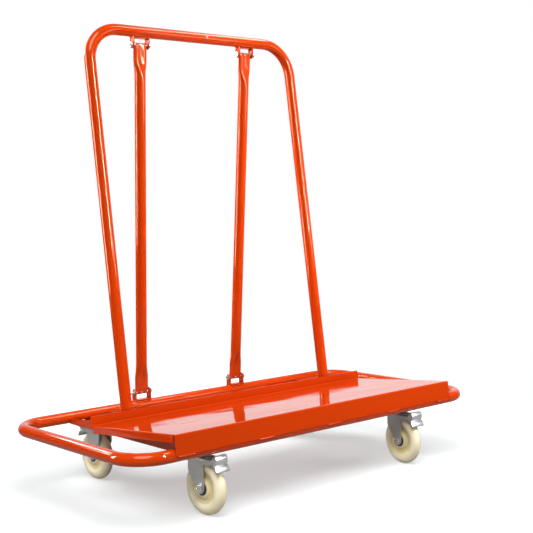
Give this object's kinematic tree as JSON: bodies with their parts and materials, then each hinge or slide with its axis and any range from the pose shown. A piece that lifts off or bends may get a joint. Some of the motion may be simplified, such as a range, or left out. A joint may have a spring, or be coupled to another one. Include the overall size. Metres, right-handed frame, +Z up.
{
  "type": "drywall cart",
  "caption": "Low cart with a sloped deck and a leaning back frame, which carries sheets on edge on braked swivel casters",
  "frame": {"origin": "on the floor, under the centre of the base loop", "axes": "+X along the cart to the right as seen from its loading side, +Y to its back, +Z up"},
  "size_m": [1.15, 0.605, 1.1902],
  "materials": {
    "orange_paint": "glossy orange powder coat on steel tube and sheet",
    "zinc": "zinc-plated pressed steel",
    "bright_zinc": "bright plated pressed steel",
    "nylon": "moulded cream nylon",
    "black_rubber": "matt black rubber",
    "steel": "turned bare steel"
  },
  "bodies": {
    "cart": {"front_rail": "orange_paint", "rear_rail": "orange_paint", "left_bow": "orange_paint", "right_bow": "orange_paint", "left_channel": "orange_paint", "right_channel": "orange_paint", "deck_tray": "orange_paint", "back_frame": "orange_paint", "bar_rivets": "zinc", "foot_spigots": "orange_paint", "foot_bolts": "zinc", "left_brace": "orange_paint", "right_brace": "orange_paint", "left_lower_bracket": "orange_paint", "right_lower_bracket": "orange_paint", "left_upper_bracket": "orange_paint", "right_upper_bracket": "orange_paint", "brace_bolts": "zinc", "brace_nuts": "zinc", "caster_bolts": "zinc", "caster_nuts": "zinc", "king_pins": "zinc", "swivel_balls": "steel", "front_left_plate": "zinc", "front_right_plate": "zinc", "rear_left_plate": "zinc", "rear_right_plate": "zinc"},
    "swivel_front_left": {"front_left_fork": "zinc", "front_left_axle": "zinc", "front_left_pedal_pin": "zinc"},
    "wheel_front_left": {"front_left_wheel": "nylon", "front_left_bush": "steel", "front_left_seals": "black_rubber"},
    "brake_front_left": {"front_left_pedal": "bright_zinc", "front_left_shoe": "black_rubber"},
    "swivel_front_right": {"front_right_fork": "zinc", "front_right_axle": "zinc", "front_right_pedal_pin": "zinc"},
    "wheel_front_right": {"front_right_wheel": "nylon", "front_right_bush": "steel", "front_right_seals": "black_rubber"},
    "brake_front_right": {"front_right_pedal": "bright_zinc", "front_right_shoe": "black_rubber"},
    "swivel_rear_left": {"rear_left_fork": "zinc", "rear_left_axle": "zinc", "rear_left_pedal_pin": "zinc"},
    "wheel_rear_left": {"rear_left_wheel": "nylon", "rear_left_bush": "steel", "rear_left_seals": "black_rubber"},
    "brake_rear_left": {"rear_left_pedal": "bright_zinc", "rear_left_shoe": "black_rubber"},
    "swivel_rear_right": {"rear_right_fork": "zinc", "rear_right_axle": "zinc", "rear_right_pedal_pin": "zinc"},
    "wheel_rear_right": {"rear_right_wheel": "nylon", "rear_right_bush": "steel", "rear_right_seals": "black_rubber"},
    "brake_rear_right": {"rear_right_pedal": "bright_zinc", "rear_right_shoe": "black_rubber"}
  },
  "joints": [
    {"name": "front_left_swivel", "type": "hinge", "parent": "cart", "child": "swivel_front_left", "pos_m": [-0.34, -0.205, 0.137], "axis": [0, 0, 1], "continuous": true},
    {"name": "front_left_roll", "type": "hinge", "parent": "swivel_front_left", "child": "wheel_front_left", "pos_m": [-0.33851, -0.23346, 0.0635], "axis": [-0.9986, -0.0523, 0], "continuous": true},
    {"name": "front_left_brake", "type": "hinge", "parent": "swivel_front_left", "child": "brake_front_left", "pos_m": [-0.33652, -0.27141, 0.1305], "axis": [0.9986, 0.0523, 0], "range_deg": [0, 12]},
    {"name": "front_right_swivel", "type": "hinge", "parent": "cart", "child": "swivel_front_right", "pos_m": [0.34, -0.205, 0.137], "axis": [0, 0, 1], "continuous": true},
    {"name": "front_right_roll", "type": "hinge", "parent": "swivel_front_right", "child": "wheel_front_right", "pos_m": [0.33702, -0.23334, 0.0635], "axis": [-0.9945, 0.1045, 0], "continuous": true},
    {"name": "front_right_brake", "type": "hinge", "parent": "swivel_front_right", "child": "brake_front_right", "pos_m": [0.33305, -0.27114, 0.1305], "axis": [0.9945, -0.1045, 0], "range_deg": [0, 12]},
    {"name": "rear_left_swivel", "type": "hinge", "parent": "cart", "child": "swivel_rear_left", "pos_m": [-0.34, 0.205, 0.137], "axis": [0, 0, 1], "continuous": true},
    {"name": "rear_left_roll", "type": "hinge", "parent": "swivel_rear_left", "child": "wheel_rear_left", "pos_m": [-0.34, 0.2335, 0.0635], "axis": [1, 0, 0], "continuous": true},
    {"name": "rear_left_brake", "type": "hinge", "parent": "swivel_rear_left", "child": "brake_rear_left", "pos_m": [-0.34, 0.2715, 0.1305], "axis": [-1, 0, 0], "range_deg": [0, 12]},
    {"name": "rear_right_swivel", "type": "hinge", "parent": "cart", "child": "swivel_rear_right", "pos_m": [0.34, 0.205, 0.137], "axis": [0, 0, 1], "continuous": true},
    {"name": "rear_right_roll", "type": "hinge", "parent": "swivel_rear_right", "child": "wheel_rear_right", "pos_m": [0.34, 0.2335, 0.0635], "axis": [1, 0, 0], "continuous": true},
    {"name": "rear_right_brake", "type": "hinge", "parent": "swivel_rear_right", "child": "brake_rear_right", "pos_m": [0.34, 0.2715, 0.1305], "axis": [-1, 0, 0], "range_deg": [0, 12]}
  ]
}
